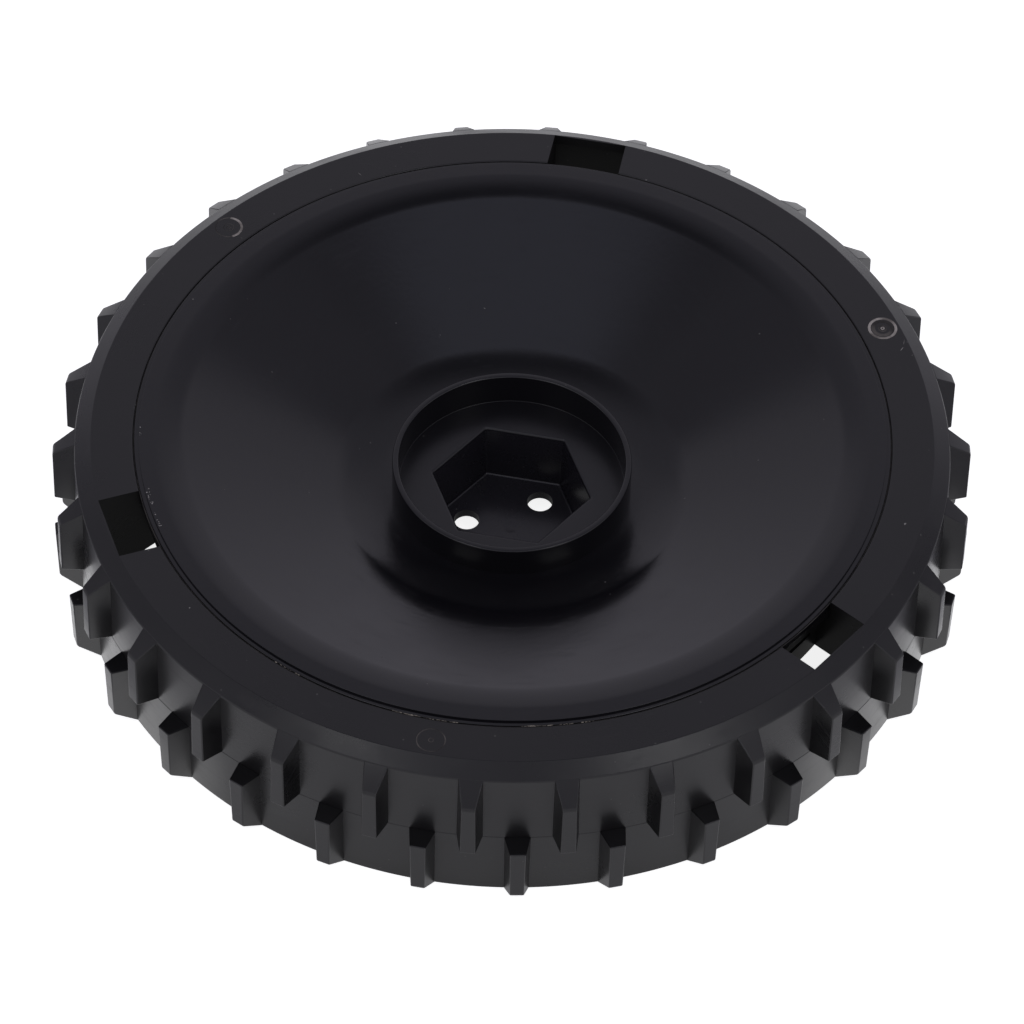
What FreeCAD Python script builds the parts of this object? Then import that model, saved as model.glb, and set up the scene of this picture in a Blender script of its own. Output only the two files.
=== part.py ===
import FreeCAD, Part
import Sketcher
import math
import os

# A drive wheel for a robot lawn mower, lying on its inner side: a tread ring with two staggered rows of lugs, and a
# dished disc that snaps into it and carries the hexagonal drive socket. +Z is the wheel's axis and points to the
# outside of the machine. The origin is on the axis, in the plane of the ring's lower edge. One window is on +Y.

# Driving dimensions, in millimetres, degrees or counts
SIZES = {
    # Tread wall and its face
    "wall_radius": 101.0,  # outside of the wall in the parting plane
    "wall_draft": 0.4,  # how much smaller the wall's radius is at its two edges
    "wall_height": 38.1,
    "wall_thickness": 2.6,
    "bevel_reach": 3.9,  # the bevel's width along the radius
    "bevel_rise": 2.4,
    "face_width": 9.7,  # from the bevel to the seam round the disc
    "flange_thickness": 2.4,
    # Seat for the disc and the skirt below it
    "seat_depth": 2.6,  # from the face down to the seat
    "seat_width": 5.0,  # from the seam in to the skirt's inner side
    "seat_thickness": 2.0,
    "riser_thickness": 1.6,
    "skirt_height": 14.8,  # from the seat down
    "skirt_thickness": 2.0,
    # Lugs
    "lug_count": 30,  # in each of the two rows
    "lug_height": 5.0,
    "lug_tip_width": 3.5,
    "lug_root_width": 6.3,
    "lug_root_depth": 1.0,  # how far a lug reaches into the wall
    "lug_draft": 0.8,
    "lug_end_slope": 38.0,
    "lug_end_round": 1.2,
    # Windows, with a side wall below each of their two ends
    "window_count": 3,
    "window_width": 17.4,
    "window_margin": 0.5,  # between a window and the bevel
    "rib_thickness": 2.0,
    "rib_overlap": 0.3,
    "gusset_drop": 1.5,  # the deeper side wall's lower edge, below the skirt's at its inner end
    "gusset_fall": 9.6,  # and from there down to its outer end
    # Disc
    "disc_gap": 0.25,  # between the disc's edge and the face
    "disc_proud": 0.6,  # the disc's edge stands higher than the face
    "disc_thickness": 2.6,
    "ledge_width": 1.0,  # the step round the disc's edge
    "ledge_drop": 0.6,
    "edge_band": 8.15,  # from the disc's edge in to where the cone would meet its flat band
    "dish_slope": 23.7,
    "dish_round": 18.0,
    "foot_band": 9.1,  # the flat band round the collar, out to the foot of the cone
    # Collar and recess
    "collar_inside": 26.2,
    "collar_thickness": 1.5,
    "collar_height": 7.28,  # above the flat band
    "recess_depth": 8.3,
    "hub_thickness": 3.0,
    # Drive socket
    "hex_flats": 32.0,
    "hex_lead": 0.7,
    "hex_draft": 0.65,
    "hex_depth": 15.0,
    "cup_wall": 2.2,
    "screw_count": 3,
    "screw_hole": 6.0,
    "screw_circle": 21.0,
    # Snap arms, one at each window
    "arm_gap": 0.4,  # between an arm and the skirt
    "arm_thickness": 2.0,
    "arm_width": 11.0,
    "barb_drop": 4.0,  # from the seat down to the barb
    "barb_height": 4.3,
    "barb_reach": 3.4,
    "barb_nose": 0.8,
    "slot_gap": 0.4,  # round the barb, in the skirt's slot
}

doc = FreeCAD.newDocument("wheel")
sheet = doc.addObject("Spreadsheet::Sheet", "Sizes")
for row, (alias, value) in enumerate(SIZES.items(), 1):
    sheet.set("A%d" % row, alias)
    sheet.set("B%d" % row, str(value))
    sheet.setAlias("B%d" % row, alias)
doc.recompute()

# Sizes that follow from the ones above, as expressions
FACE = "(Sizes.wall_height + Sizes.bevel_rise)"
PARTING = "(Sizes.wall_height / 2)"
WALL_EDGE = "(Sizes.wall_radius - Sizes.wall_draft)"
WALL_INSIDE = "(Sizes.wall_radius - Sizes.wall_thickness)"
BEVEL_START = "(%s - Sizes.bevel_reach)" % WALL_EDGE
BEVEL_LENGTH = "sqrt(Sizes.bevel_reach ^ 2 + Sizes.bevel_rise ^ 2)"
BEVEL_DROP = "(Sizes.flange_thickness * %s / Sizes.bevel_reach)" % BEVEL_LENGTH
BEVEL_FALL = "(Sizes.bevel_rise / Sizes.bevel_reach)"
SEAM = "(%s - Sizes.face_width)" % BEVEL_START
WINDOW_OUTER = "(%s - Sizes.window_margin)" % BEVEL_START
WINDOW_INNER = "sqrt(%s ^ 2 - (Sizes.window_width / 2) ^ 2)" % SEAM
UNDER_FACE = "(%s - Sizes.flange_thickness)" % FACE
SEAT = "(%s - Sizes.seat_depth)" % FACE
UNDER_SEAT = "(%s - Sizes.seat_thickness)" % SEAT
RISER_OUTSIDE = "(%s + Sizes.riser_thickness)" % SEAM
SKIRT_INSIDE = "(%s - Sizes.seat_width)" % SEAM
SKIRT_MIDDLE = "(%s + Sizes.skirt_thickness / 2)" % SKIRT_INSIDE
SKIRT_OUTSIDE = "(%s + Sizes.skirt_thickness)" % SKIRT_INSIDE
SKIRT_BOTTOM = "(%s - Sizes.skirt_height)" % SEAT

LUG_TIP = "(Sizes.wall_radius + Sizes.lug_height)"
LUG_ROOT = "(Sizes.wall_radius - Sizes.lug_root_depth)"
LUG_SPREAD = "((Sizes.lug_root_width - Sizes.lug_tip_width) / 2 / Sizes.lug_height)"
LUG_TIP_HALF = "(Sizes.lug_tip_width / 2)"
LUG_ROOT_HALF = "(Sizes.lug_root_width / 2 + %s * Sizes.lug_root_depth)" % LUG_SPREAD
HALF_PITCH = "180 deg / Sizes.lug_count"
END_FALL = "((%s - %s) * tan(Sizes.lug_end_slope * 1 deg))" % (LUG_TIP, WALL_EDGE)
END_DEPTH = "(%s + 2 * Sizes.lug_end_round)" % END_FALL

RIM_TOP = "(%s + Sizes.disc_proud)" % FACE
DISC_RADIUS = "(%s - Sizes.disc_gap)" % SEAM
RIM_RADIUS = "(%s - Sizes.ledge_width)" % DISC_RADIUS
LEDGE = "(%s - Sizes.ledge_drop)" % RIM_TOP
DISH_MOUTH = "(%s - Sizes.edge_band)" % DISC_RADIUS
DISH_FALL = "tan(Sizes.dish_slope * 1 deg)"
DISC_DROP = "(Sizes.disc_thickness / cos(Sizes.dish_slope * 1 deg))"
COLLAR_OUTSIDE = "(Sizes.collar_inside + Sizes.collar_thickness)"
FOOT_EDGE = "(%s + Sizes.foot_band)" % COLLAR_OUTSIDE
DISH_FOOT = "(%s - (%s - %s) * %s)" % (RIM_TOP, DISH_MOUTH, FOOT_EDGE, DISH_FALL)
COLLAR_TOP = "(%s + Sizes.collar_height)" % DISH_FOOT
RECESS_FLOOR = "(%s - Sizes.recess_depth)" % COLLAR_TOP
HUB_UNDER = "(%s - Sizes.hub_thickness)" % RECESS_FLOOR
UNDER_EDGE = "(%s - (%s - %s - %s) / %s)" % (DISH_MOUTH, RIM_TOP, DISC_DROP, SEAT, DISH_FALL)
UNDER_HUB = "(%s - (%s - %s - %s) / %s)" % (DISH_MOUTH, RIM_TOP, DISC_DROP, HUB_UNDER, DISH_FALL)
HEX_FLOOR = "(%s - Sizes.hex_depth)" % RECESS_FLOOR
CUP_TOP = "(%s - Sizes.hub_thickness / 2)" % RECESS_FLOOR
CUP_BOTTOM = "(%s - Sizes.cup_wall)" % HEX_FLOOR

ARM_OUTSIDE = "(%s - Sizes.arm_gap)" % SKIRT_INSIDE
ARM_INSIDE = "(%s - Sizes.arm_thickness)" % ARM_OUTSIDE
ARM_TOP = "((%s + %s) / 2)" % (SEAT, RIM_TOP)
BARB_TIP = "(%s + Sizes.barb_reach)" % ARM_OUTSIDE
BARB_TOP = "(%s - Sizes.barb_drop)" % SEAT
ARM_BOTTOM = "(%s - Sizes.barb_height)" % BARB_TOP


def origin_part(body, role):
    for part in body.Origin.OriginFeatures:
        if part.Role == role:
            return part


def sketch_on(body, name, role, distance=None, turn=None):
    """A sketch on one of the body's own planes, moved along that plane's normal, or turned about the wheel's axis."""
    sketch = body.newObject("Sketcher::SketchObject", name)
    sketch.AttachmentSupport = [(origin_part(body, role), "")]
    sketch.MapMode = "FlatFace"
    axis = FreeCAD.Vector(0, 0, 1) if role == "XY_Plane" else FreeCAD.Vector(0, 1, 0)
    sketch.AttachmentOffset = FreeCAD.Placement(FreeCAD.Vector(), FreeCAD.Rotation(axis, 1.0))
    sketch.setExpression("AttachmentOffset.Rotation.Angle", turn or "0 deg")
    if distance:
        sketch.setExpression("AttachmentOffset.Base.z", distance)
    return sketch


def bind(sketch, kind, first, second, expression):
    """A dimension of the sketch that takes its value from the sheet."""
    if expression == "0":
        axis = -2 if kind == "DistanceX" else -1
        sketch.addConstraint(Sketcher.Constraint("PointOnObject", first, second, axis))
        return
    index = sketch.addConstraint(Sketcher.Constraint(kind, -1, 1, first, second, 1.0))
    sketch.setExpression("Constraints[%d]" % index, expression)


def corner_points(sketch, corners):
    """Places the outline's corners and returns their positions."""
    for number, corner in enumerate(corners):
        point = FreeCAD.Vector(number + 1.0, 1.0, 0.0)
        geometry = sketch.addGeometry(Part.Point(point), True)
        bind(sketch, "DistanceX", geometry, 1, corner[0])
        bind(sketch, "DistanceY", geometry, 1, corner[1])
    doc.recompute()
    return [sketch.getPoint(number, 1) for number in range(len(corners))]


def rounding(place, before, after, radius):
    """The arc that rounds a corner, and where it meets the stretches before and after that corner."""
    backwards = (before - place).normalize()
    onwards = (after - place).normalize()
    half_angle = backwards.getAngle(onwards) / 2
    start = place + backwards * (radius / math.tan(half_angle))
    end = place + onwards * (radius / math.tan(half_angle))
    middle = place + (backwards + onwards).normalize() * (radius / math.sin(half_angle))
    circle = Part.Circle(middle, FreeCAD.Vector(0, 0, 1), radius)
    turn_left = (start - middle).cross(end - middle).z > 0
    first, last = (start, end) if turn_left else (end, start)
    arc = Part.ArcOfCircle(circle, circle.parameter(first), circle.parameter(last))
    return arc, turn_left, start, end


def outline(sketch, corners):
    """A closed outline through the corners. A corner with a third entry is rounded by that size."""
    places = corner_points(sketch, corners)
    count = len(places)
    arrivals = list(places)
    departures = list(places)
    arcs = {}
    for number, corner in enumerate(corners):
        if len(corner) == 3:
            radius = sheet.get(corner[2])
            found = rounding(places[number], places[number - 1], places[(number + 1) % count], radius)
            arcs[number] = found[:2]
            arrivals[number], departures[number] = found[2:]
    stretches = []
    for number in range(count):
        stretch = Part.LineSegment(departures[number], arrivals[(number + 1) % count])
        stretches.append(sketch.addGeometry(stretch, False))
    for number, corner in enumerate(corners):
        before = stretches[number - 1]
        after = stretches[number]
        if number not in arcs:
            sketch.addConstraint(Sketcher.Constraint("Coincident", before, 2, number, 1))
            sketch.addConstraint(Sketcher.Constraint("Coincident", after, 1, number, 1))
            continue
        arc, turn_left = arcs[number]
        geometry = sketch.addGeometry(arc, False)
        sketch.addConstraint(Sketcher.Constraint("PointOnObject", number, 1, before))
        sketch.addConstraint(Sketcher.Constraint("PointOnObject", number, 1, after))
        sketch.addConstraint(Sketcher.Constraint("Tangent", before, 2, geometry, 1 if turn_left else 2))
        sketch.addConstraint(Sketcher.Constraint("Tangent", after, 1, geometry, 2 if turn_left else 1))
        index = sketch.addConstraint(Sketcher.Constraint("Radius", geometry, arc.Radius))
        sketch.setExpression("Constraints[%d]" % index, "Sizes." + corner[2])
    doc.recompute()


def round_hole(sketch, across, east, north):
    """A circle with its diameter and its centre."""
    circle = Part.Circle(FreeCAD.Vector(1, 1, 0), FreeCAD.Vector(0, 0, 1), 1.0)
    geometry = sketch.addGeometry(circle, False)
    bind(sketch, "DistanceX", geometry, 3, east)
    bind(sketch, "DistanceY", geometry, 3, north)
    index = sketch.addConstraint(Sketcher.Constraint("Diameter", geometry, 2.0))
    sketch.setExpression("Constraints[%d]" % index, across)
    doc.recompute()


def hexagon(body, name, height, flats):
    """A hexagon across its flats, with a corner on +X."""
    reach = "(%s) / sqrt(3)" % flats
    rise = "(%s) / 2" % flats
    sketch = sketch_on(body, name, "XY_Plane", height)
    outline(sketch, [
        (reach, "0"),
        ("%s / 2" % reach, rise),
        ("-%s / 2" % reach, rise),
        ("-%s" % reach, "0"),
        ("-%s / 2" % reach, "-" + rise),
        ("%s / 2" % reach, "-" + rise),
    ])
    return sketch


def turned(body, kind, name, sketch):
    """A full turn of the sketch about the wheel's axis."""
    feature = body.newObject(kind, name)
    feature.Profile = sketch
    feature.ReferenceAxis = (sketch, ["V_Axis"])
    feature.Angle = 360.0
    body.Tip = feature
    doc.recompute()
    return feature


def pushed(body, kind, name, sketch, length, backwards=False, both_ways=False):
    """A pad or pocket of the sketch."""
    feature = body.newObject(kind, name)
    feature.Profile = sketch
    feature.setExpression("Length", length)
    feature.Reversed = backwards
    feature.Midplane = both_ways
    body.Tip = feature
    doc.recompute()
    return feature


def around(body, name, originals, count):
    """The features repeated round the wheel's axis."""
    pattern = body.newObject("PartDesign::PolarPattern", name)
    pattern.Originals = originals
    pattern.Axis = (origin_part(body, "Z_Axis"), [""])
    pattern.Angle = 360.0
    pattern.setExpression("Occurrences", count)
    body.Tip = pattern
    doc.recompute()
    return pattern


# Tread ring
ring = doc.addObject("PartDesign::Body", "Ring")
ring.Label = "tread_ring"

section = sketch_on(ring, "RingSection", "XZ_Plane")
outline(section, [
    (WALL_EDGE, "0"),
    ("Sizes.wall_radius", PARTING),
    (WALL_EDGE, "Sizes.wall_height"),
    (BEVEL_START, FACE),
    (SEAM, FACE),
    (SEAM, SEAT),
    (SKIRT_INSIDE, SEAT),
    (SKIRT_INSIDE, SKIRT_BOTTOM),
    (SKIRT_OUTSIDE, SKIRT_BOTTOM),
    (SKIRT_OUTSIDE, UNDER_SEAT),
    (RISER_OUTSIDE, UNDER_SEAT),
    (RISER_OUTSIDE, UNDER_FACE),
    ("%s - (%s - Sizes.flange_thickness) / %s" % (BEVEL_START, BEVEL_DROP, BEVEL_FALL), UNDER_FACE),
    (WALL_INSIDE, "%s - %s - (%s - %s) * %s" % (FACE, BEVEL_DROP, WALL_INSIDE, BEVEL_START, BEVEL_FALL)),
    (WALL_INSIDE, "0"),
])
turned(ring, "PartDesign::Revolution", "RingTurn", section)

# Side walls below the windows, from the skirt to the wall. The east one is a deeper gusset with a sloping lower edge.
ribs = []
gusset = "(%s - Sizes.gusset_drop)" % SKIRT_BOTTOM
for side, outward, inner_end, outer_end in (
    ("East", False, gusset, "%s - Sizes.gusset_fall" % gusset),
    ("West", True, SKIRT_BOTTOM, SKIRT_BOTTOM),
):
    distance = "Sizes.window_width / 2"
    rib_sketch = sketch_on(ring, side + "RibSketch", "YZ_Plane", "-" + distance if outward else distance)
    outline(rib_sketch, [
        (SKIRT_MIDDLE, inner_end),
        ("%s + 2 * Sizes.rib_overlap" % WALL_INSIDE, outer_end),
        ("%s + 2 * Sizes.rib_overlap" % WALL_INSIDE, "%s + Sizes.rib_overlap" % UNDER_FACE),
        (RISER_OUTSIDE, "%s + Sizes.rib_overlap" % UNDER_FACE),
        (RISER_OUTSIDE, "%s + Sizes.rib_overlap" % UNDER_SEAT),
        (SKIRT_MIDDLE, "%s + Sizes.rib_overlap" % UNDER_SEAT),
    ])
    ribs.append(pushed(ring, "PartDesign::Pad", side + "Rib", rib_sketch, "Sizes.rib_thickness", outward))
around(ring, "Ribs", ribs, "Sizes.window_count")

# Windows through the face, and below each one the slot in the skirt that the disc's barb latches into
half_window = "Sizes.window_width / 2"
window_sketch = sketch_on(ring, "WindowSketch", "XY_Plane", FACE)
outline(window_sketch, [
    (half_window, WINDOW_INNER),
    (half_window, WINDOW_OUTER),
    ("-" + half_window, WINDOW_OUTER),
    ("-" + half_window, WINDOW_INNER),
])
window = pushed(ring, "PartDesign::Pocket", "Window", window_sketch, "Sizes.seat_depth + 2 * Sizes.seat_thickness")

half_slot = "(Sizes.arm_width / 2 + Sizes.slot_gap)"
slot_sketch = sketch_on(ring, "SlotSketch", "XZ_Plane", "-%s + 2 * Sizes.skirt_thickness" % SKIRT_INSIDE)
outline(slot_sketch, [
    (half_slot, "%s - Sizes.slot_gap" % ARM_BOTTOM),
    (half_slot, "%s + Sizes.slot_gap" % BARB_TOP),
    ("-" + half_slot, "%s + Sizes.slot_gap" % BARB_TOP),
    ("-" + half_slot, "%s - Sizes.slot_gap" % ARM_BOTTOM),
])
slot = pushed(ring, "PartDesign::Pocket", "Slot", slot_sketch, "4 * Sizes.skirt_thickness")
around(ring, "Windows", [window, slot], "Sizes.window_count")

# The two rows of lugs start back to back in the parting plane, half a pitch apart, and narrow towards the wall's
# edges. The lower row has a lug on +Y, below the window. A lug's end slopes down from the wall's edge and is rounded
# into the tip.
for row, shift, downwards, height in (
    ("Upper", HALF_PITCH, False, "(Sizes.wall_height - (%s))"),
    ("Lower", None, True, "(%s)"),
):
    lug_sketch = sketch_on(ring, row + "LugSketch", "XY_Plane", PARTING, shift)
    outline(lug_sketch, [
        (LUG_ROOT_HALF, LUG_ROOT),
        (LUG_TIP_HALF, LUG_TIP),
        ("-" + LUG_TIP_HALF, LUG_TIP),
        ("-" + LUG_ROOT_HALF, LUG_ROOT),
    ])
    lug = pushed(ring, "PartDesign::Pad", row + "Lug", lug_sketch, "Sizes.wall_height - %s" % PARTING, downwards)
    lug.setExpression("TaperAngle", "-Sizes.lug_draft * 1 deg")
    doc.recompute()
    end_sketch = sketch_on(ring, row + "EndSketch", "YZ_Plane", None, shift)
    outline(end_sketch, [
        (WALL_EDGE, height % "0"),
        (LUG_TIP, height % END_FALL, "lug_end_round"),
        (LUG_TIP, height % END_DEPTH),
        ("%s + Sizes.lug_height" % LUG_TIP, height % END_DEPTH),
        ("%s + Sizes.lug_height" % LUG_TIP, height % "-Sizes.lug_height"),
        (WALL_EDGE, height % "-Sizes.lug_height"),
    ])
    end = pushed(ring, "PartDesign::Pocket", row + "End", end_sketch, "2 * Sizes.lug_root_width", False, True)
    around(ring, row + "Lugs", [lug, end], "Sizes.lug_count")

# Wheel disc
disc = doc.addObject("PartDesign::Body", "Disc")
disc.Label = "wheel_disc"

section = sketch_on(disc, "DiscSection", "XZ_Plane")
outline(section, [
    ("0", RECESS_FLOOR),
    ("Sizes.collar_inside", RECESS_FLOOR),
    ("Sizes.collar_inside", COLLAR_TOP),
    (COLLAR_OUTSIDE, COLLAR_TOP),
    (COLLAR_OUTSIDE, DISH_FOOT),
    (FOOT_EDGE, DISH_FOOT),
    (DISH_MOUTH, RIM_TOP, "dish_round"),
    (RIM_RADIUS, RIM_TOP),
    (RIM_RADIUS, LEDGE),
    (DISC_RADIUS, LEDGE),
    (DISC_RADIUS, SEAT),
    (UNDER_EDGE, SEAT),
    (UNDER_HUB, HUB_UNDER),
    ("0", HUB_UNDER),
])
turned(disc, "PartDesign::Revolution", "DiscTurn", section)

# Drive socket: a hexagonal cup below the hub, with a lead-in at its mouth and a little draft
cup_sketch = hexagon(disc, "CupSketch", CUP_TOP, "Sizes.hex_flats + 2 * Sizes.cup_wall")
pushed(disc, "PartDesign::Pad", "Cup", cup_sketch, "%s - %s" % (CUP_TOP, CUP_BOTTOM), True)

mouth = hexagon(disc, "SocketMouth", RECESS_FLOOR, "Sizes.hex_flats + 2 * Sizes.hex_lead")
throat = hexagon(disc, "SocketThroat", "%s - Sizes.hex_lead" % RECESS_FLOOR, "Sizes.hex_flats")
floor = hexagon(disc, "SocketFloor", HEX_FLOOR, "Sizes.hex_flats - 2 * Sizes.hex_draft")
socket = disc.newObject("PartDesign::SubtractiveLoft", "Socket")
socket.Profile = mouth
socket.Sections = [throat, floor]
socket.Ruled = True
disc.Tip = socket
doc.recompute()

# Screw holes near every second corner of the socket
hole_sketch = sketch_on(disc, "ScrewSketch", "XY_Plane", HEX_FLOOR)
round_hole(hole_sketch, "Sizes.screw_hole", "Sizes.screw_circle / 4", "Sizes.screw_circle / 4 * sqrt(3)")
hole = pushed(disc, "PartDesign::Pocket", "ScrewHole", hole_sketch, "2 * Sizes.cup_wall")
around(disc, "ScrewHoles", [hole], "Sizes.screw_count")

# Snap arms inside the skirt, each with a barb that looks outwards into a window
arm_sketch = sketch_on(disc, "ArmSketch", "YZ_Plane")
outline(arm_sketch, [
    (ARM_INSIDE, ARM_TOP),
    (ARM_OUTSIDE, ARM_TOP),
    (ARM_OUTSIDE, BARB_TOP),
    (BARB_TIP, BARB_TOP),
    (BARB_TIP, "%s - Sizes.barb_nose" % BARB_TOP),
    (ARM_OUTSIDE, ARM_BOTTOM),
    (ARM_INSIDE, ARM_BOTTOM),
])
arm = pushed(disc, "PartDesign::Pad", "Arm", arm_sketch, "Sizes.arm_width", False, True)
around(disc, "Arms", [arm], "Sizes.window_count")

doc.recompute()
for item in doc.Objects:
    if "Invalid" in item.State or "Error" in item.State:
        raise RuntimeError("%s did not build" % item.Name)

os.makedirs("parts", exist_ok=True)
for body in (ring, disc):
    if body.Shape.isNull() or not body.Shape.isValid() or len(body.Shape.Solids) != 1:
        raise RuntimeError("%s is not one sound solid" % body.Label)
    body.Shape.exportStep("parts/%s.step" % body.Label)
    print(body.Label, round(body.Shape.Volume / 1000.0, 2), "cm3", body.Shape.BoundBox)
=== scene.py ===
import math
import random

import bmesh
import bpy
from mathutils import Matrix, Vector


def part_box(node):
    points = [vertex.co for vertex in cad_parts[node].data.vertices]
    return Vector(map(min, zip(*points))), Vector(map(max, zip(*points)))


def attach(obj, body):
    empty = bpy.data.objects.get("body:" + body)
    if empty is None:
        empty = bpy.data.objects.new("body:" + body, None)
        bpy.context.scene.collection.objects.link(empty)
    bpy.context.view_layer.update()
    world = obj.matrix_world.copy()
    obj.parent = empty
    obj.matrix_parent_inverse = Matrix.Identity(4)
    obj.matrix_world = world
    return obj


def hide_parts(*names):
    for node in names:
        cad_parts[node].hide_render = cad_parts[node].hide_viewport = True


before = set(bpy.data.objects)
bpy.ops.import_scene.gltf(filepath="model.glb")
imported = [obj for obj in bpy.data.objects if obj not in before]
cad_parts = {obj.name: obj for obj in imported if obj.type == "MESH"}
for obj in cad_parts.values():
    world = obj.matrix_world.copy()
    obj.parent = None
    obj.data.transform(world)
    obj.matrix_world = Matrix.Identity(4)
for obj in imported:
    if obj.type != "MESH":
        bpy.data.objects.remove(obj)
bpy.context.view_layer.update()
_, ring_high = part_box("tread_ring")
disc_low, disc_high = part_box("wheel_disc")

# Driving sizes in millimetres. The outer ones come from the frame, and finished meshes are scaled to metres.
LUG_TIP = round(ring_high.x * 1000, 2)
FACE_TOP = round(ring_high.z * 1000, 2)
RIM_TOP = round(disc_high.z * 1000, 2) - 0.04  # the dust on the rim lies on top
DISC_RADIUS = round(disc_high.x * 1000, 2)
CUP_BOTTOM = round(disc_low.z * 1000, 2)

RIM_RADIUS = DISC_RADIUS - 1.0
LEDGE = RIM_TOP - 0.56
SEAM_RADIUS = DISC_RADIUS + 0.25
SEAT_TOP = FACE_TOP - 2.6
SEAT_UNDER = SEAT_TOP - 2.0
SKIRT_INSIDE = SEAM_RADIUS - 5.0
SKIRT_OUTSIDE = SKIRT_INSIDE + 2.0
SKIRT_BOTTOM = SEAT_TOP - 14.8
RISER_OUTSIDE = SEAM_RADIUS + 1.6
BEVEL_TOP = SEAM_RADIUS + 9.7
WALL_EDGE = BEVEL_TOP + 3.9
WALL_TOP = FACE_TOP - 2.4
PARTING = WALL_TOP / 2
WALL_RADIUS = LUG_TIP - 5.0
WALL_INSIDE = WALL_RADIUS - 2.6
FACE_UNDER = FACE_TOP - 2.4

WINDOW_ANGLES = (90, 210, 330)
WINDOW_HALF = 8.7
WINDOW_OUTER = BEVEL_TOP - 0.5
WINDOW_INNER = math.sqrt(SEAM_RADIUS ** 2 - WINDOW_HALF ** 2)
SLOT_HALF = 5.9
SLOT_LOW = 29.2
SLOT_HIGH = 34.3

LUG_COUNT = 30
LUG_PITCH = 360 / LUG_COUNT
LUG_ROOT_HALF = 3.15
LUG_TIP_HALF = 1.75
LUG_DRAFT = 0.27
LUG_END_SLOPE = math.radians(38)

COLLAR_INSIDE = 26.2
COLLAR_OUTSIDE = 27.7
COLLAR_TOP = 30.03
RECESS_FLOOR = 21.73
FOOT_BAND = 22.137
FOOT_EDGE = 35.4
FOOT_ROUNDING = 30.0
DISH_MOUTH = 78.6
DISH_SLOPE = math.tan(math.radians(23.7))
DISH_UNDER_MOUTH = 77.6
DISH_UNDER_FOOT = 34.1
HUB_UNDER = 18.73
FLOOR_JOIN = 24.2  # the turned shape ends here, and the hexagonal one begins
UNDER_JOIN = 25.0
HEX_MOUTH = 33.4
HEX_THROAT = 32.0
HEX_FOOT = 30.7
HEX_FLOOR = CUP_BOTTOM + 2.2
LEAD_IN_WIDTH = 1.4
LEAD_IN_DEPTH = 0.7
HEX_FOOT_ROUNDING = 0.55
CUP_OUTSIDE = 36.4
CUP_EDGE = 0.5
SCREW_CIRCLE = 10.5
SCREW_RADIUS = 3.0

ARM_INSIDE = 79.6
ARM_OUTSIDE = 81.6
ARM_HALF = 5.5
ARM_BOTTOM = 29.6
BARB_TIP = 85.0
BARB_TOP = 33.9
BARB_UNDER = 33.1

TURN_STEPS = 288
QUARTER_STEPS = [math.radians(turn) for turn in (22.5, 45, 67.5, 90)]
VIEW_DEGREES = 10.13
VIEW_TURN = math.radians(VIEW_DEGREES)


def turned_by(degrees):
    return Matrix.Rotation(math.radians(degrees), 4, "Z")


# Mesh making


def section(bm, corners, closed=False):
    """A wire in the XZ plane through corners of (radius, height, rounding), ready to be spun."""
    points = [bm.verts.new((r, 0, z)) for r, z, _ in corners]
    for a, b in zip(points, points[1:] + points[:1] if closed else points[1:]):
        bm.edges.new((a, b))
    flat = [Vector((r, z)) for r, z, _ in corners]
    for i, (point, (_, _, rounding)) in enumerate(zip(points, corners)):
        if not rounding:
            continue
        before = (flat[i] - flat[i - 1]).normalized()
        after = (flat[(i + 1) % len(flat)] - flat[i]).normalized()
        bend = before.angle(after)
        bmesh.ops.bevel(bm, geom=[point], offset=rounding * math.tan(bend / 2), offset_type="OFFSET",
                        segments=max(3, round(bend * (4 + rounding))), profile=0.5, affect="VERTICES", material=-1)


def spin_all(bm, steps=TURN_STEPS, sweep=360):
    bmesh.ops.spin(bm, geom=bm.verts[:] + bm.edges[:], cent=(0, 0, 0), axis=(0, 0, 1), angle=math.radians(sweep),
                   steps=steps, use_merge=sweep == 360)


def slab(bm, corners, low, high):
    """A closed block: corners of (y, z) in the YZ plane, pushed out along X from low to high."""
    face = bm.faces.new([bm.verts.new((low, y, z)) for y, z in corners])
    pushed = bmesh.ops.extrude_face_region(bm, geom=[face])
    bmesh.ops.translate(bm, verts=[g for g in pushed["geom"] if isinstance(g, bmesh.types.BMVert)],
                        vec=(high - low, 0, 0))


def soften(bm, edges, width, segments=2):
    bmesh.ops.bevel(bm, geom=edges, offset=width, offset_type="OFFSET", segments=segments, profile=0.5,
                    affect="EDGES", material=-1, clamp_overlap=True)


def to_mesh(bm, name):
    bmesh.ops.recalc_face_normals(bm, faces=bm.faces[:])
    mesh = bpy.data.meshes.new(name)
    bm.to_mesh(mesh)
    bm.free()
    return mesh


def add_copies(bm, mesh, places):
    for place in places:
        copy = mesh.copy()
        copy.transform(place)
        bm.from_mesh(copy)
        bpy.data.meshes.remove(copy)


def piece(name, bm, material, replaces=None, sharp=40):
    """The finished piece: metres, outward faces, smooth shading with flat faces kept flat."""
    bmesh.ops.scale(bm, vec=(0.001, 0.001, 0.001), verts=bm.verts[:])
    for face in bm.faces:
        face.smooth = True
    mesh = to_mesh(bm, name)
    mesh.set_sharp_from_angle(angle=math.radians(sharp))
    mesh.materials.append(material)
    thing = bpy.data.objects.new(name, mesh)
    bpy.context.scene.collection.objects.link(thing)
    level = thing.modifiers.new("FlatFaces", "WEIGHTED_NORMAL")
    level.weight = 60
    level.keep_sharp = True
    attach(thing, "root")
    if replaces:
        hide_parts(replaces)
    return thing


# Tread ring


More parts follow.
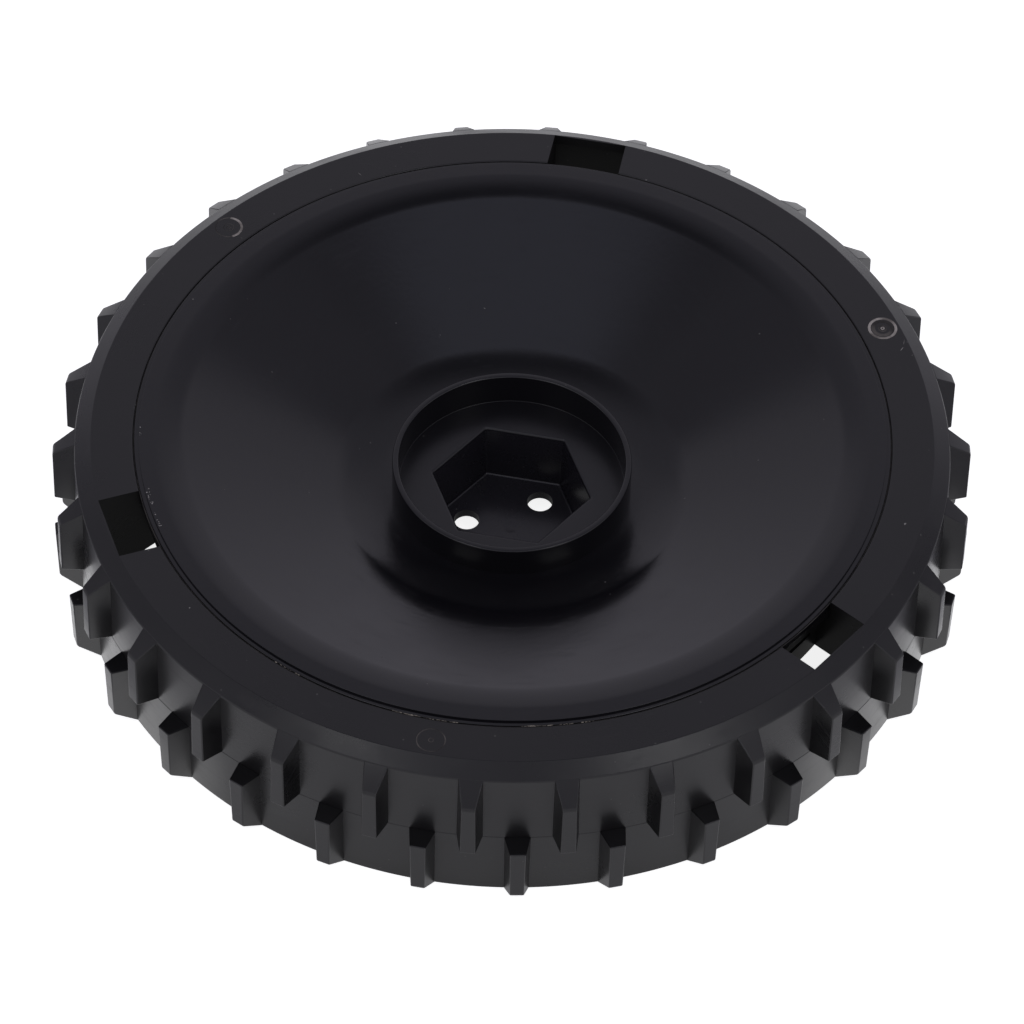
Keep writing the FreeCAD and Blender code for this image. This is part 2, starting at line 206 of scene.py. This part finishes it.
def lug_mesh():
    """One lug of the upper row on +Y: a drafted block whose end slopes down from the wall's edge to its tip."""
    bm = bmesh.new()
    root = WALL_RADIUS - 1.0
    outline = ((LUG_ROOT_HALF, root), (LUG_TIP_HALF, LUG_TIP), (-LUG_TIP_HALF, LUG_TIP), (-LUG_ROOT_HALF, root))
    face = bm.faces.new([bm.verts.new((x, y, PARTING)) for x, y in outline])
    pushed = bmesh.ops.extrude_face_region(bm, geom=[face])
    for top in (g for g in pushed["geom"] if isinstance(g, bmesh.types.BMVert)):
        inwards = Vector((-math.copysign(LUG_DRAFT, top.co.x), -LUG_DRAFT if top.co.y > WALL_RADIUS else 0,
                          WALL_TOP - PARTING))
        bmesh.ops.translate(bm, verts=[top], vec=inwards)
    cut = bmesh.ops.bisect_plane(bm, geom=bm.verts[:] + bm.edges[:] + bm.faces[:], plane_co=(0, WALL_EDGE, WALL_TOP),
                                 plane_no=(0, math.sin(LUG_END_SLOPE), math.cos(LUG_END_SLOPE)), clear_outer=True)
    bmesh.ops.contextual_create(bm, geom=[g for g in cut["geom_cut"] if isinstance(g, bmesh.types.BMEdge)])
    bmesh.ops.recalc_face_normals(bm, faces=bm.faces[:])
    end_edge = [e for e in bm.edges if all(v.co.y > LUG_TIP - 1 and v.co.z > PARTING + 5 for v in e.verts)
                and abs(e.verts[0].co.z - e.verts[1].co.z) < 0.1]
    soften(bm, end_edge, 0.6, 4)
    outer = [e for e in bm.edges if max(v.co.y for v in e.verts) > WALL_RADIUS + 0.5
             and e.calc_face_angle(0) > math.radians(24)]
    soften(bm, outer, 0.28, 3)
    return to_mesh(bm, "lug")


def ring_section(bm):
    section(bm, [
        (SEAM_RADIUS, FACE_TOP, 0.35),
        (BEVEL_TOP, FACE_TOP, 0.4),
        (WALL_EDGE, WALL_TOP, 0.6),
        (WALL_RADIUS, PARTING + 0.16, 0),
        (WALL_RADIUS - 0.16, PARTING, 0),
        (WALL_RADIUS, PARTING - 0.16, 0),
        (WALL_EDGE, 0, 0.4),
        (WALL_INSIDE, 0, 0.3),
        (WALL_INSIDE, FACE_UNDER - 1.5, 0.5),
        (WALL_INSIDE - 2.4, FACE_UNDER, 0.5),
        (RISER_OUTSIDE, FACE_UNDER, 0.4),
        (RISER_OUTSIDE, SEAT_UNDER, 0.3),
        (SKIRT_OUTSIDE, SEAT_UNDER, 0.4),
        (SKIRT_OUTSIDE, SKIRT_BOTTOM, 0.4),
        (SKIRT_INSIDE, SKIRT_BOTTOM, 0.4),
        (SKIRT_INSIDE, SEAT_TOP, 0.3),
        (SEAM_RADIUS, SEAT_TOP, 0.2),
    ], closed=True)


def cut_away(mesh, cutter_mesh):
    """The mesh with the cutter's blocks taken out of it."""
    body = bpy.data.objects.new("body", mesh)
    cutter = bpy.data.objects.new("cutter", cutter_mesh)
    for thing in (body, cutter):
        bpy.context.scene.collection.objects.link(thing)
    cut = body.modifiers.new("Windows", "BOOLEAN")
    cut.operation, cut.solver, cut.object = "DIFFERENCE", "EXACT", cutter
    done = bpy.data.meshes.new_from_object(body.evaluated_get(bpy.context.evaluated_depsgraph_get()))
    for thing in (body, cutter):
        bpy.data.objects.remove(thing)
    return done


def tread_ring(material):
    bm = bmesh.new()
    ring_section(bm)
    spin_all(bm)
    whole = to_mesh(bm, "ring_whole")

    bm = bmesh.new()
    slab(bm, [(WINDOW_INNER, SEAT_UNDER - 2), (WINDOW_OUTER, SEAT_UNDER - 2), (WINDOW_OUTER, FACE_TOP + 2),
              (WINDOW_INNER, FACE_TOP + 2)], -WINDOW_HALF, WINDOW_HALF)
    slab(bm, [(SKIRT_INSIDE - 1, SLOT_LOW), (SKIRT_OUTSIDE + 1, SLOT_LOW), (SKIRT_OUTSIDE + 1, SLOT_HIGH),
              (SKIRT_INSIDE - 1, SLOT_HIGH)], -SLOT_HALF, SLOT_HALF)
    blocks = to_mesh(bm, "window_blocks")
    bm = bmesh.new()
    add_copies(bm, blocks, [turned_by(a - 90) for a in WINDOW_ANGLES])
    windowed = cut_away(whole, to_mesh(bm, "window_cutter"))

    bm = bmesh.new()
    for side, drop, fall in ((-1, 0, 0), (1, 1.5, 9.6)):
        slab(bm, [(SKIRT_INSIDE + 1, SKIRT_BOTTOM - drop), (WALL_INSIDE + 0.6, SKIRT_BOTTOM - drop - fall),
                  (WALL_INSIDE + 0.6, FACE_UNDER + 0.3), (WINDOW_OUTER + 0.2, FACE_TOP - 0.3),
                  (SEAM_RADIUS + 0.4, FACE_TOP - 0.3), (SEAM_RADIUS + 0.4, SEAT_UNDER + 0.3),
                  (SKIRT_INSIDE + 1, SEAT_UNDER + 0.3)],
             side * (WINDOW_HALF - 0.02), side * (WINDOW_HALF + 2.0))
    ribs = to_mesh(bm, "ribs")

    lug = lug_mesh()
    bm = bmesh.new()
    bm.from_mesh(windowed)
    add_copies(bm, ribs, [turned_by(a - 90) for a in WINDOW_ANGLES])
    lower = Matrix.Translation((0, 0, 2 * PARTING)) @ Matrix.Scale(-1, 4, (0, 0, 1))
    for k in range(LUG_COUNT):
        add_copies(bm, lug, [turned_by((k + 0.5) * LUG_PITCH), turned_by(k * LUG_PITCH) @ lower])
    return piece("tread_ring_moulding", bm, material, "tread_ring", sharp=50)


# Wheel disc


def hexagon(bm, flats, height, corner):
    """A loop of six edges with rounded corners, a corner on +X."""
    loop = bmesh.ops.create_circle(bm, cap_ends=False, radius=flats / math.sqrt(3), segments=6,
                                   matrix=Matrix.Translation((0, 0, height)) @ turned_by(30))
    bmesh.ops.bevel(bm, geom=loop["verts"], offset=corner, offset_type="OFFSET", segments=4, profile=0.5,
                    affect="VERTICES", material=-1)
    return [e for e in bm.edges if all(abs(v.co.z - height) < 1e-4 for v in e.verts) and e.is_wire]


def deeper(bm, edges, drop, flats_from, flats_to):
    """The loop pushed down by drop and drawn in or out from one width over flats to the other."""
    pushed = bmesh.ops.extrude_edge_only(bm, edges=edges)
    verts = [g for g in pushed["geom"] if isinstance(g, bmesh.types.BMVert)]
    ratio = flats_to / flats_from
    bmesh.ops.scale(bm, vec=(ratio, ratio, 1), verts=verts)
    bmesh.ops.translate(bm, vec=(0, 0, -drop), verts=verts)
    return [g for g in pushed["geom"] if isinstance(g, bmesh.types.BMEdge)]


def round_loop(bm, radius, centre, segments=40):
    loop = bmesh.ops.create_circle(bm, cap_ends=False, radius=radius, segments=segments,
                                   matrix=Matrix.Translation(centre))
    return list(set(e for v in loop["verts"] for e in v.link_edges))


def wheel_disc(material):
    bm = bmesh.new()
    section(bm, [
        (FLOOR_JOIN, RECESS_FLOOR, 0),
        (COLLAR_INSIDE, RECESS_FLOOR, 0.1),
        (COLLAR_INSIDE, COLLAR_TOP, 0.4),
        (COLLAR_OUTSIDE, COLLAR_TOP, 0.4),
        (COLLAR_OUTSIDE, FOOT_BAND, 0),
        (FOOT_EDGE, FOOT_BAND, FOOT_ROUNDING),
        (DISH_MOUTH, RIM_TOP, 18.0),
        (RIM_RADIUS, RIM_TOP, 0.1),
        (RIM_RADIUS, LEDGE, 0),
        (DISC_RADIUS, LEDGE, 0.2),
        (DISC_RADIUS, SEAT_TOP, 0.3),
        (DISH_UNDER_MOUTH, SEAT_TOP, 3.0),
        (DISH_UNDER_FOOT, HUB_UNDER, 3.0),
        (UNDER_JOIN, HUB_UNDER, 0),
    ])
    spin_all(bm)
    ring_floor = [e for e in bm.edges if e.is_boundary and e.verts[0].co.z > RECESS_FLOOR - 1]
    ring_under = [e for e in bm.edges if e.is_boundary and e.verts[0].co.z < HUB_UNDER + 1]

    mouth = hexagon(bm, HEX_MOUTH, RECESS_FLOOR, 0.35)
    throat, flats, sunk = mouth, HEX_MOUTH, 0.0
    for turn in QUARTER_STEPS:
        narrower, drop = HEX_MOUTH - LEAD_IN_WIDTH * math.sin(turn), LEAD_IN_DEPTH * (1 - math.cos(turn))
        throat = deeper(bm, throat, drop - sunk, flats, narrower)
        flats, sunk = narrower, drop
    floor = deeper(bm, throat, RECESS_FLOOR - LEAD_IN_DEPTH - HEX_FLOOR - HEX_FOOT_ROUNDING, HEX_THROAT, HEX_FOOT)
    flats, sunk = HEX_FOOT, 0.0
    for turn in QUARTER_STEPS:
        narrower = HEX_FOOT - 2 * HEX_FOOT_ROUNDING * (1 - math.cos(turn))
        drop = HEX_FOOT_ROUNDING * math.sin(turn)
        floor = deeper(bm, floor, drop - sunk, flats, narrower)
        flats, sunk = narrower, drop
    cup_top = hexagon(bm, CUP_OUTSIDE, HUB_UNDER, 2.2)
    cup_edge = deeper(bm, cup_top, HUB_UNDER - CUP_BOTTOM - CUP_EDGE, CUP_OUTSIDE, CUP_OUTSIDE)
    cup_base = deeper(bm, cup_edge, CUP_EDGE, CUP_OUTSIDE, CUP_OUTSIDE - 2 * CUP_EDGE)
    bmesh.ops.bridge_loops(bm, edges=ring_floor + mouth)
    bmesh.ops.bridge_loops(bm, edges=ring_under + cup_top)

    holes_above, holes_below = [], []
    for turn in (60, 180, 300):
        turn = math.radians(turn)
        centre = Vector((SCREW_CIRCLE * math.cos(turn), SCREW_CIRCLE * math.sin(turn), HEX_FLOOR))
        top = round_loop(bm, SCREW_RADIUS, centre)
        pushed = bmesh.ops.extrude_edge_only(bm, edges=top)
        bmesh.ops.translate(bm, vec=(0, 0, CUP_BOTTOM - HEX_FLOOR),
                            verts=[g for g in pushed["geom"] if isinstance(g, bmesh.types.BMVert)])
        holes_above += top
        holes_below += [g for g in pushed["geom"] if isinstance(g, bmesh.types.BMEdge)]

    gate_lip = round_loop(bm, 2.4, (0, 0, HEX_FLOOR))
    gate_side = gate_lip
    for wide, narrow, drop in ((2.4, 2.0, 0.02), (2.0, 1.5, 0.05), (1.5, 1.0, 0.04), (1.0, 0.5, 0.02)):
        gate_side = deeper(bm, gate_side, drop, wide, narrow)
    bmesh.ops.triangle_fill(bm, edges=gate_side, use_beauty=True, use_dissolve=True, normal=(0, 0, 1))
    bmesh.ops.triangle_fill(bm, edges=floor + holes_above + gate_lip, use_beauty=True, normal=(0, 0, 1))
    bmesh.ops.triangle_fill(bm, edges=cup_base + holes_below, use_beauty=True, normal=(0, 0, -1))
    bmesh.ops.remove_doubles(bm, verts=bm.verts[:], dist=0.0005)

    arm = bmesh.new()
    slab(arm, [(ARM_INSIDE, SEAT_TOP + 0.8), (ARM_OUTSIDE, SEAT_TOP + 0.8), (ARM_OUTSIDE, BARB_TOP),
               (BARB_TIP, BARB_TOP), (BARB_TIP, BARB_UNDER), (ARM_OUTSIDE, ARM_BOTTOM), (ARM_INSIDE, ARM_BOTTOM)],
         -ARM_HALF, ARM_HALF)
    soften(arm, [e for e in arm.edges if all(v.co.z < SEAT_UNDER for v in e.verts)], 0.15, 2)
    add_copies(bm, to_mesh(arm, "snap_arm"), [turned_by(a - 90) for a in WINDOW_ANGLES])
    return piece("wheel_disc_moulding", bm, material, "wheel_disc", sharp=32)


# Finishes


def ramp(tree, value, low, high, start=0.0, end=1.0):
    """A smooth step from start, where the value is low, to end, where it is high."""
    node = tree.nodes.new("ShaderNodeMapRange")
    node.interpolation_type = "SMOOTHSTEP"
    for name, number in (("From Min", low), ("From Max", high), ("To Min", start), ("To Max", end)):
        node.inputs[name].default_value = number
    tree.links.new(value, node.inputs["Value"])
    return node.outputs["Result"]


def feed(tree, socket, value):
    if isinstance(value, (int, float, tuple)):
        socket.default_value = value
    else:
        tree.links.new(value, socket)


def maths(tree, operation, *values):
    node = tree.nodes.new("ShaderNodeMath")
    node.operation = operation
    for socket, value in zip(node.inputs, values):
        feed(tree, socket, value)
    return node.outputs["Value"]


def vectors(tree, operation, *values):
    node = tree.nodes.new("ShaderNodeVectorMath")
    node.operation = operation
    for socket, value in zip(node.inputs, values):
        feed(tree, socket, value)
    return node.outputs["Value" if operation == "LENGTH" else "Vector"]


def blend(tree, factor, first, second):
    node = tree.nodes.new("ShaderNodeMix")
    node.data_type = "RGBA"
    for name, value in (("Factor", factor), ("A", first), ("B", second)):
        socket = [s for s in node.inputs if s.name == name and s.enabled][0]
        feed(tree, socket, value)
    return [s for s in node.outputs if s.enabled][0]


def noise(tree, vector, scale, detail):
    node = tree.nodes.new("ShaderNodeTexNoise")
    node.inputs["Scale"].default_value = scale
    node.inputs["Detail"].default_value = detail
    tree.links.new(vector, node.inputs["Vector"])
    return node.outputs["Fac"]


def split(tree, vector):
    node = tree.nodes.new("ShaderNodeSeparateXYZ")
    tree.links.new(vector, node.inputs["Vector"])
    return node.outputs["X"], node.outputs["Y"], node.outputs["Z"]


def round_the_wheel(tree, where):
    """Coordinates that are drawn out round the wheel's axis, and the distance from that axis."""
    flat = vectors(tree, "MULTIPLY", where, (1, 1, 0))
    heading_x, heading_y, _ = split(tree, vectors(tree, "NORMALIZE", flat))
    from_axis = vectors(tree, "LENGTH", flat)
    joined = tree.nodes.new("ShaderNodeCombineXYZ")
    feed(tree, joined.inputs["X"], maths(tree, "MULTIPLY", heading_x, 9))
    feed(tree, joined.inputs["Y"], maths(tree, "MULTIPLY", heading_y, 9))
    feed(tree, joined.inputs["Z"], maths(tree, "MULTIPLY", maths(tree, "ADD", from_axis, split(tree, where)[2]), 700))
    return joined.outputs["Vector"], from_axis


def new_material(name):
    material = bpy.data.materials.new(name)
    material.use_nodes = True
    tree = material.node_tree
    return material, tree, tree.nodes["Principled BSDF"]


def black_plastic(name, base, worn, gloss, grain, speck_share, dull_pockets_painted_lighter=()):
    """Black moulded plastic: cloudy gloss, rubbing that runs round the wheel, a fine ripple and pale specks, with
    painted light that lifts the shade in its pockets.

    A pocket is (radius, top, added roughness, share of a grey tone painted in to lighten the pocket's shade) in
    metres.
    """
    material, tree, shader = new_material(name)
    where = tree.nodes.new("ShaderNodeTexCoord").outputs["Object"]
    along, from_axis = round_the_wheel(tree, where)
    cloud = noise(tree, where, 38, 5)
    rubbed = ramp(tree, noise(tree, along, 1.0, 4), 0.52, 0.78)

    roughness = maths(tree, "ADD", ramp(tree, cloud, 0.3, 0.7, *gloss), maths(tree, "MULTIPLY", rubbed, 0.07))
    painted_pocket_lift = 0.0
    for reach, height, more, pocket_lift in dull_pockets_painted_lighter:
        inside = maths(tree, "MULTIPLY", ramp(tree, from_axis, reach, reach - 0.0002),
                       ramp(tree, split(tree, where)[2], height, height - 0.0003))
        roughness = maths(tree, "ADD", roughness, maths(tree, "MULTIPLY", inside, more))
        painted_pocket_lift = maths(tree, "MAXIMUM", painted_pocket_lift, maths(tree, "MULTIPLY", inside, pocket_lift))

    grit = tree.nodes.new("ShaderNodeTexVoronoi")
    grit.inputs["Scale"].default_value = 520
    tree.links.new(where, grit.inputs["Vector"])
    tint = tree.nodes.new("ShaderNodeSeparateColor")
    tree.links.new(grit.outputs["Color"], tint.inputs["Color"])
    speck = maths(tree, "MULTIPLY", ramp(tree, grit.outputs["Distance"], 0.15, 0.06),
                  maths(tree, "LESS_THAN", tint.outputs["Red"], speck_share))

    tone = blend(tree, maths(tree, "MAXIMUM", cloud, rubbed), base, worn)
    # Painted light: grey painted into the pockets lifts their shade.
    tone = blend(tree, painted_pocket_lift, tone, (0.03, 0.028, 0.036, 1))
    tone = blend(tree, maths(tree, "MULTIPLY", speck, 0.35), tone, (0.17, 0.165, 0.155, 1))
    tree.links.new(tone, shader.inputs["Base Color"])
    tree.links.new(maths(tree, "ADD", roughness, maths(tree, "MULTIPLY", speck, 0.3)), shader.inputs["Roughness"])

    ripple = tree.nodes.new("ShaderNodeBump")
    ripple.inputs["Strength"].default_value = 0.05
    ripple.inputs["Distance"].default_value = 0.0002
    tree.links.new(noise(tree, where, grain, 3), ripple.inputs["Height"])
    tree.links.new(ripple.outputs["Normal"], shader.inputs["Normal"])
    shader.inputs["IOR"].default_value = 1.5
    return material


def dull_mottle(name, dark, light, scale):
    """A dull, uneven tone: dried dust and fluff, the mould marks, and the painted shade in the seam gap."""
    material, tree, shader = new_material(name)
    where = tree.nodes.new("ShaderNodeTexCoord").outputs["Object"]
    tree.links.new(blend(tree, ramp(tree, noise(tree, where, scale, 4), 0.35, 0.65), dark, light),
                   shader.inputs["Base Color"])
    shader.inputs["Roughness"].default_value = 0.85
    return material


# Marks, dust and the painted shade of the seam gap


def mark_lines(name, lines, material):
    """Low flat-topped lines on the ring's face: (mark angle, mark radius, inner, outer, start, sweep) of each."""
    bm = bmesh.new()
    for angle, radius, inner, outer, start, sweep in lines:
        line = bmesh.new()
        section(line, [(inner, 0, 0), (inner + 0.05, 0.035, 0), (outer - 0.05, 0.035, 0), (outer, 0, 0)])
        spin_all(line, 64, sweep)
        place = turned_by(angle) @ Matrix.Translation((radius, 0, FACE_TOP - 0.005)) @ turned_by(start - angle)
        add_copies(bm, to_mesh(line, "line"), [place])
    return piece(name, bm, material)


def mould_marks(faint, strong):
    """Three round marks in the ring's face, each with a pip at its centre, two of them full of pale dust."""
    right, left, near = (32.3, 92.7), (147.8, 92.9), (270.1, 92.7)
    mark_lines("mould_marks", [
        (*near, 3.0, 3.27, 0, 360), (*near, 0.45, 0.62, 0, 360),
        (*left, 2.95, 3.25, 95, 205), (*left, 0.4, 0.62, 0, 360), (*left, 1.1, 1.3, 0, 360),
        (*right, 1.75, 2.65, 0, 360), (*right, 0.75, 1.1, 0, 360),
    ], faint)
    mark_lines("mould_mark_dust", [
        (*left, 2.8, 3.4, -60, 155), (*right, 2.8, 3.45, 0, 360), (*right, 0.2, 0.5, 0, 360),
    ], strong)


def flecks(name, places, material):
    """Flat grains of dust: places of (angle, radius, height, length, width, turn)."""
    bm = bmesh.new()
    for angle, radius, height, length, width, turn in places:
        place = turned_by(angle) @ Matrix.Translation((radius, 0, height)) @ turned_by(turn)
        bmesh.ops.create_icosphere(bm, subdivisions=1, radius=0.5,
                                   matrix=place @ Matrix.Diagonal((length, width, 0.07, 1)))
    return piece(name, bm, material)


def scattered(seed, count, angles, radii, height, sizes):
    """Grains strewn over a patch between two angles and two radii."""
    chance = random.Random(seed)
    grains = []
    for _ in range(count):
        size = chance.uniform(*sizes)
        grains.append((chance.uniform(*angles), chance.uniform(*radii), height, size, size * chance.uniform(0.5, 0.9),
                       chance.uniform(0, 180)))
    return grains


def dust(material, seam_material, gap_shade_material):
    rim_grains = (scattered(1, 16, (-155.6, -152.2), (84.7, 85.5), RIM_TOP, (0.2, 0.5))
                  + scattered(2, 9, (-150.6, -147.6), (84.9, 85.5), RIM_TOP, (0.2, 0.45))
                  + scattered(3, 5, (-168.4, -165.6), (84.9, 85.5), RIM_TOP, (0.2, 0.4)))
    dish_grains = [(angle, radius, FOOT_BAND + (radius - FOOT_EDGE) * DISH_SLOPE, length, width, turn)
                   for angle, radius, length, width, turn in
                   ((133.3, 51.7, 0.35, 0.3, 0), (108.8, 50.1, 1.3, 0.12, 40), (123.0, 45.8, 0.3, 0.2, 20),
                    (163.3, 74.8, 0.3, 0.25, 0))]
    flecks("rim_dust", rim_grains + dish_grains + [(163.3, 84.8, RIM_TOP, 0.4, 0.3, 30)], material)
    ring_grains = [(-5.8, 92.8, FACE_TOP, 0.75, 0.5, 60), (26.2, 96.3, FACE_TOP, 0.5, 0.2, 20),
                   (28.86, 95.8, FACE_TOP, 1.9, 0.16, 61), (27.7, 94.6, FACE_TOP, 1.6, 0.2, 41),
                   (-131.8, 90.0, FACE_TOP, 0.4, 0.35, 0), (79.7, 87.3, FACE_TOP, 0.45, 0.25, 80),
                   (125.3, 89.9, FACE_TOP, 1.4, 0.1, 15)]
    flecks("ring_dust", ring_grains, material)
    seam = (SEAM_RADIUS + DISC_RADIUS) / 2
    seam_grains = (scattered(4, 12, (-116.2, -111.2), (seam - 0.05, seam + 0.05), LEDGE - 0.03, (0.3, 0.9))
                   + scattered(5, 26, (-96.4, -92.4), (seam - 0.1, seam + 0.1), LEDGE - 0.02, (0.3, 0.8))
                   + scattered(6, 22, (-92.4, -86.8), (seam - 0.05, seam + 0.05), LEDGE - 0.03, (0.2, 0.6))
                   + scattered(7, 50, (-77.5, -67.0), (seam - 0.08, seam + 0.08), LEDGE - 0.02, (0.2, 0.7)))
    seam_grains = [(angle, radius, height, 0.26, length, 0) for angle, radius, height, length, _, _ in seam_grains]
    flecks("seam_dust", seam_grains, seam_material)
    # Painted shade: a dull dark grey sheet closes the seam gap a little under the ledge.
    bm = bmesh.new()
    section(bm, [(DISC_RADIUS - 0.05, LEDGE - 0.4, 0), (seam, LEDGE - 0.3, 0), (SEAM_RADIUS + 0.05, LEDGE - 0.4, 0)])
    spin_all(bm)
    piece("seam_gap_shade", bm, gap_shade_material)


# Studio


def studio_floor():
    """A pale floor, white to the camera. In reflections it glows with painted light, brightest beyond the wheel and
    close to its sides, with painted shade under the wheel.
    """
    bm = bmesh.new()
    bmesh.ops.create_grid(bm, x_segments=8, y_segments=8, size=6.0, matrix=Matrix.Translation((0, 0, -0.00005)))
    mesh = to_mesh(bm, "studio_floor")
    material, tree, shader = new_material("studio_floor_white")
    tree.nodes.remove(shader)
    paint = tree.nodes.new("ShaderNodeBsdfDiffuse")
    paint.inputs["Color"].default_value = (0.72, 0.72, 0.72, 1)

    turn = tree.nodes.new("ShaderNodeMapping")
    turn.inputs["Rotation"].default_value = (0, 0, -VIEW_TURN)
    tree.links.new(tree.nodes.new("ShaderNodeTexCoord").outputs["Object"], turn.inputs["Vector"])
    _, beyond, _ = split(tree, turn.outputs["Vector"])
    from_axis = vectors(tree, "LENGTH", turn.outputs["Vector"])
    # Painted light: the floor's glow as seen in reflections, set by place on the floor.
    far = maths(tree, "MULTIPLY", ramp(tree, beyond, 0.03, 0.09), ramp(tree, beyond, 0.75, 0.4, 0.0, 0.68))
    beside = maths(tree, "MULTIPLY", ramp(tree, from_axis, 0.118, 0.1105), ramp(tree, beyond, -0.092, -0.066))
    before = ramp(tree, beyond, -0.035, -0.088, 0.0, 0.31)
    painted_glow = maths(tree, "MAXIMUM", maths(tree, "MAXIMUM", far, beside), before)
    # Painted shade: the glow is taken away under the wheel, leaving a faint one there.
    painted_glow = maths(tree, "MULTIPLY", painted_glow, ramp(tree, from_axis, 0.095, 0.1))
    painted_glow = maths(tree, "ADD", painted_glow, ramp(tree, from_axis, 0.1, 0.095, 0.0, 0.11))

    path = tree.nodes.new("ShaderNodeLightPath")
    straight = maths(tree, "MAXIMUM", path.outputs["Is Camera Ray"], path.outputs["Is Transmission Ray"])
    glow = tree.nodes.new("ShaderNodeEmission")
    mirrored = maths(tree, "MULTIPLY", path.outputs["Is Glossy Ray"], painted_glow)
    tree.links.new(maths(tree, "MULTIPLY_ADD", straight, 0.86, mirrored), glow.inputs["Strength"])
    both = tree.nodes.new("ShaderNodeAddShader")
    tree.links.new(paint.outputs["BSDF"], both.inputs[0])
    tree.links.new(glow.outputs["Emission"], both.inputs[1])
    tree.links.new(both.outputs["Shader"], tree.nodes["Material Output"].inputs["Surface"])
    mesh.materials.append(material)
    floor = bpy.data.objects.new("studio_floor", mesh)
    bpy.context.scene.collection.objects.link(floor)


def studio_sky():
    """An even grey room, brighter low on the far side and overhead, with a dark gap high on that side."""
    world = bpy.data.worlds.new("studio_sky")
    bpy.context.scene.world = world
    world.use_nodes = True
    tree = world.node_tree
    turn = tree.nodes.new("ShaderNodeMapping")
    turn.inputs["Rotation"].default_value = (0, 0, -VIEW_TURN)
    tree.links.new(tree.nodes.new("ShaderNodeTexCoord").outputs["Generated"], turn.inputs["Vector"])
    right, beyond, up = split(tree, turn.outputs["Vector"])
    aside = maths(tree, "ABSOLUTE", right)

    far_bank = maths(tree, "MULTIPLY", ramp(tree, beyond, 0.6, 0.76), ramp(tree, beyond, 1.0, 0.9, 1.1, 1.0))
    panel = maths(tree, "MULTIPLY", ramp(tree, aside, 0.3, 0.45), ramp(tree, aside, 0.68, 0.6))
    panel_height = maths(tree, "MULTIPLY", ramp(tree, up, 0.38, 0.47), ramp(tree, up, 0.75, 0.6))
    panel = maths(tree, "MULTIPLY", panel, panel_height)
    panel = maths(tree, "MULTIPLY", panel, ramp(tree, beyond, 0.4, 0.6))
    gap = maths(tree, "MULTIPLY", ramp(tree, beyond, 0.0, 0.16), ramp(tree, beyond, 0.56, 0.24))
    gap = maths(tree, "MULTIPLY", gap, ramp(tree, aside, 0.58, 0.2))
    gap = maths(tree, "MULTIPLY", gap, ramp(tree, up, 0.55, 0.75))
    overhead = maths(tree, "MULTIPLY", ramp(tree, up, 0.84, 0.94), ramp(tree, beyond, 0.12, -0.02))
    overhead = maths(tree, "MULTIPLY", overhead, ramp(tree, beyond, -0.32, -0.2))

    room = blend(tree, maths(tree, "MAXIMUM", far_bank, panel), (0.37, 0.36, 0.425, 1), (0.56, 0.54, 0.62, 1))
    flank = maths(tree, "MULTIPLY", ramp(tree, aside, 0.42, 0.54),
                  maths(tree, "MULTIPLY", ramp(tree, beyond, 0.16, 0.28), ramp(tree, beyond, 0.52, 0.42)))
    room = blend(tree, flank, room, (0.31, 0.3, 0.355, 1))
    room = blend(tree, overhead, room, (0.49, 0.5, 0.62, 1))
    room = blend(tree, gap, room, (0.1, 0.1, 0.118, 1))
    tree.links.new(room, tree.nodes["Background"].inputs["Color"])
    tree.nodes["Background"].inputs["Strength"].default_value = 1.0


def softbox(name, place, size, power):
    light = bpy.data.lights.new(name, "AREA")
    light.shape = "RECTANGLE"
    light.size, light.size_y = size
    light.energy = power
    lamp = bpy.data.objects.new(name, light)
    lamp.location = turned_by(VIEW_DEGREES) @ Vector(place)
    lamp.rotation_euler = (-lamp.location).to_track_quat("-Z", "Y").to_euler()
    bpy.context.scene.collection.objects.link(lamp)


def photo_camera():
    lens = bpy.data.cameras.new("photo_camera")
    lens.sensor_width = 36
    lens.lens = 180.61
    lens.clip_start = 0.05
    lens.clip_end = 50
    camera = bpy.data.objects.new("photo_camera", lens)
    place, tilt, roll = (0.13893, -0.77606, 0.9169), math.radians(41.063), 1.429
    camera.matrix_world = (Matrix.Translation(place) @ turned_by(VIEW_DEGREES)
                           @ Matrix.Rotation(tilt, 4, "X") @ turned_by(roll))
    bpy.context.scene.collection.objects.link(camera)
    bpy.context.scene.camera = camera


photo_camera()
studio_floor()
studio_sky()
softbox("key_left", (-0.66, -0.61, 1.56), (0.45, 0.38), 0.9)
softbox("key_right", (0.71, -0.6, 1.56), (0.5, 0.38), 1.3)
softbox("fill_left", (-1.2, -1.2, 0.68), (3.0, 1.2), 4)
softbox("fill_right", (1.2, -1.2, 0.68), (3.0, 1.2), 4)

tread_black = black_plastic("tread_black", (0.0042, 0.0041, 0.0045, 1), (0.0095, 0.0092, 0.0095, 1),
                            gloss=(0.26, 0.35), grain=900, speck_share=0.1)
disc_black = black_plastic("disc_black", (0.0036, 0.0034, 0.0047, 1), (0.0054, 0.0051, 0.0066, 1),
                           gloss=(0.13, 0.18), grain=700, speck_share=0.012,
                           dull_pockets_painted_lighter=((0.0262, 0.0222, 0.17, 0.04), (0.0192, 0.0213, -0.08, 0.34)))
dust_grey = dull_mottle("dust_grey", (0.12, 0.115, 0.11, 1), (0.34, 0.33, 0.31, 1), 900)
dust_brown = dull_mottle("dust_brown", (0.03, 0.026, 0.022, 1), (0.3, 0.27, 0.22, 1), 420)
painted_gap_shade = dull_mottle("painted_gap_shade", (0.012, 0.011, 0.01, 1), (0.035, 0.032, 0.028, 1), 260)
mark_brown = dull_mottle("mark_brown", (0.02, 0.018, 0.017, 1), (0.11, 0.1, 0.09, 1), 150)
mark_pale = dull_mottle("mark_pale", (0.14, 0.125, 0.112, 1), (0.38, 0.35, 0.32, 1), 330)
tread_ring(tread_black)
wheel_disc(disc_black)
mould_marks(mark_brown, mark_pale)
dust(dust_grey, dust_brown, painted_gap_shade)

scene = bpy.context.scene
scene.view_settings.view_transform = "Standard"
